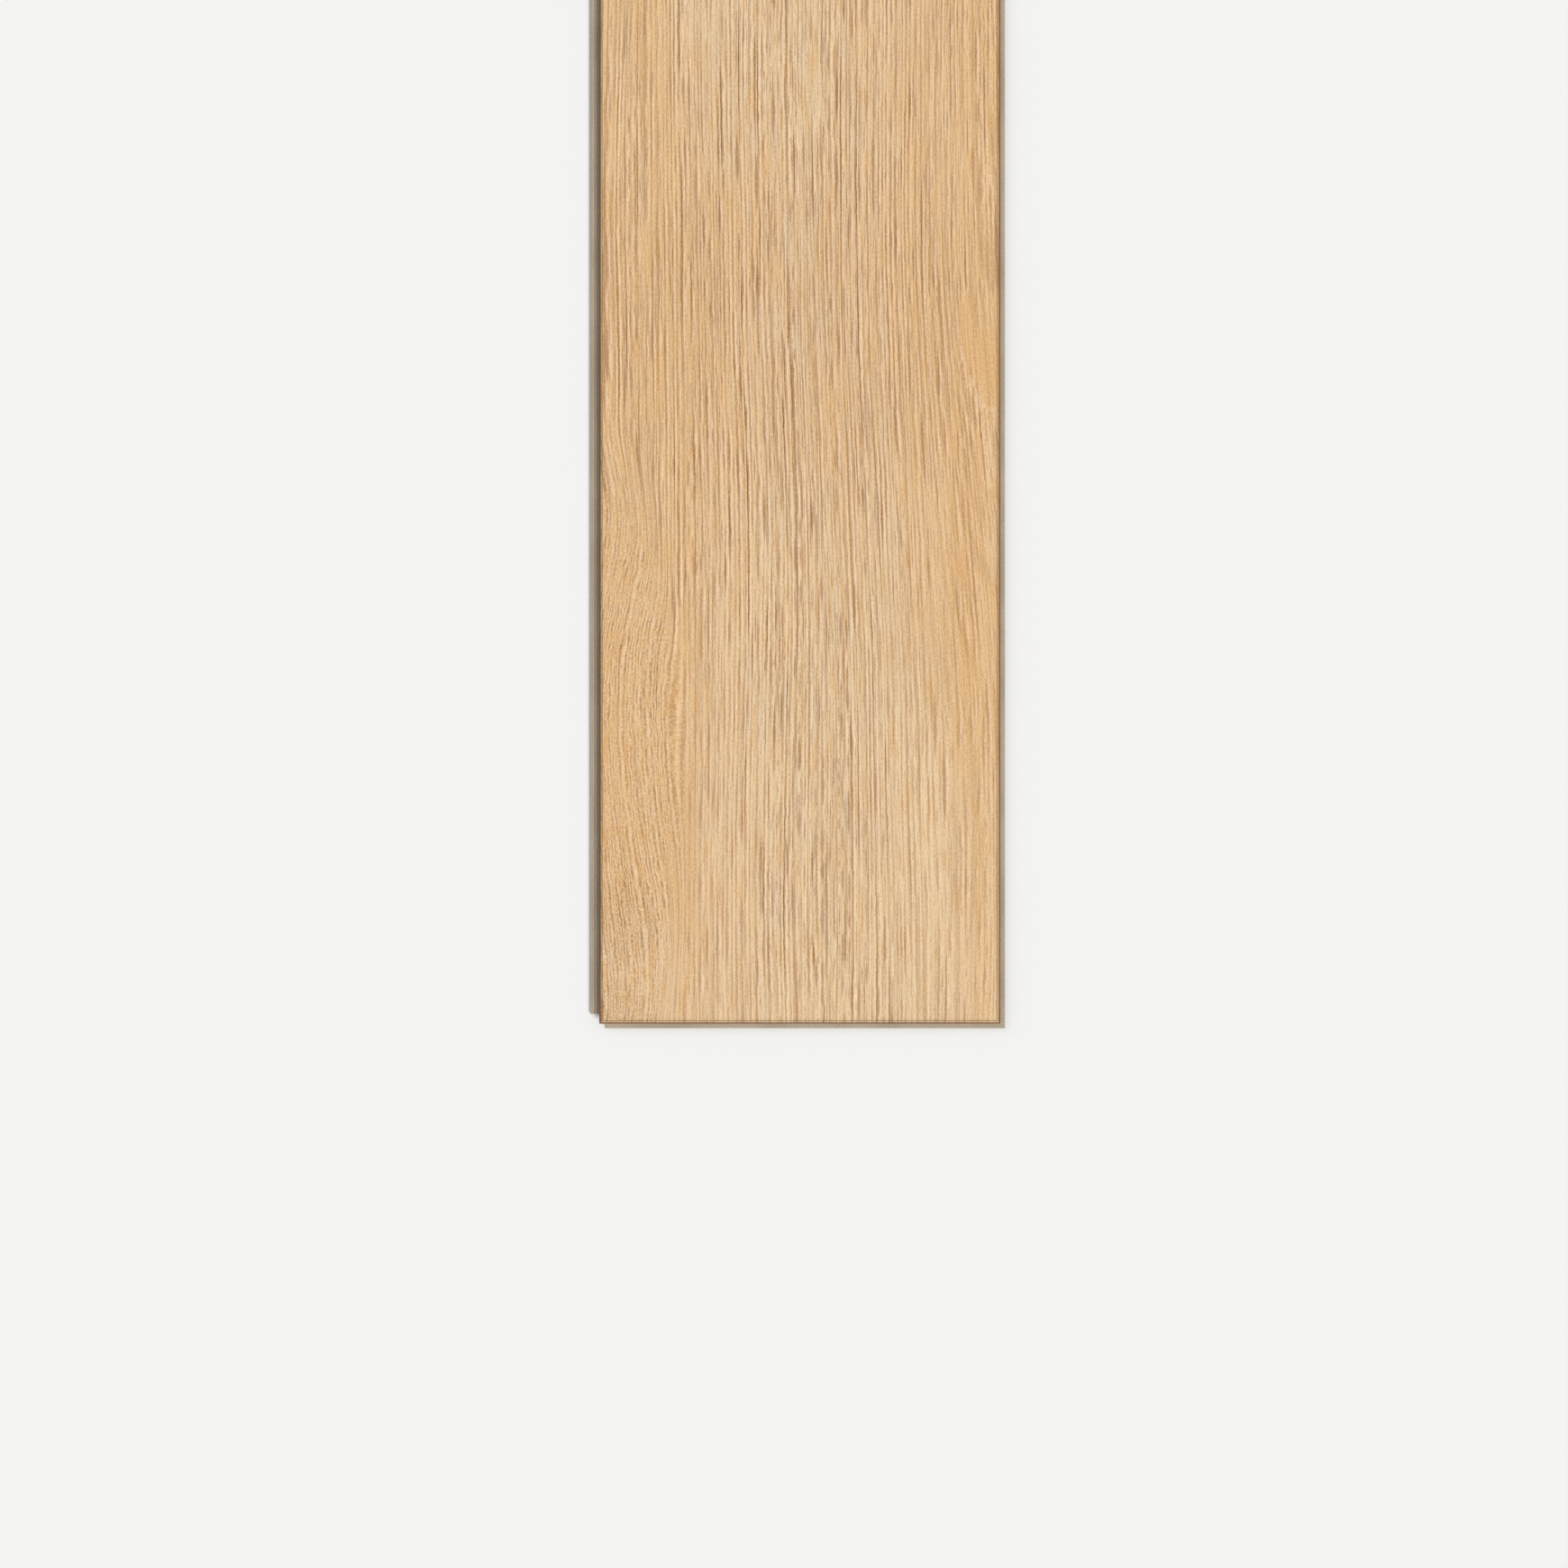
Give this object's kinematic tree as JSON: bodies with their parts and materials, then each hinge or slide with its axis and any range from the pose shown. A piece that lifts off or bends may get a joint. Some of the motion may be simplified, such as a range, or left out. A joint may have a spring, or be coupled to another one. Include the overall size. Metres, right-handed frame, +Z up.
{
  "type": "luxury vinyl plank",
  "caption": "Rigid click-lock vinyl floor plank with a pale oak wear face, bevelled on every edge, a tongue along one side and end, and a groove with a locking strip along the others.",
  "frame": {"origin": "on the underside, below the middle of the face that the plank covers", "axes": "+X across the plank from the groove edge to the tongue edge, +Y along it from the tongue end to the groove end, +Z up from the underside to the wear face"},
  "size_m": [0.236, 1.2279, 0.006],
  "materials": {
    "oak_print": "satin"
  },
  "bodies": {
    "root": {"plank": "oak_print"}
  },
  "joints": []
}
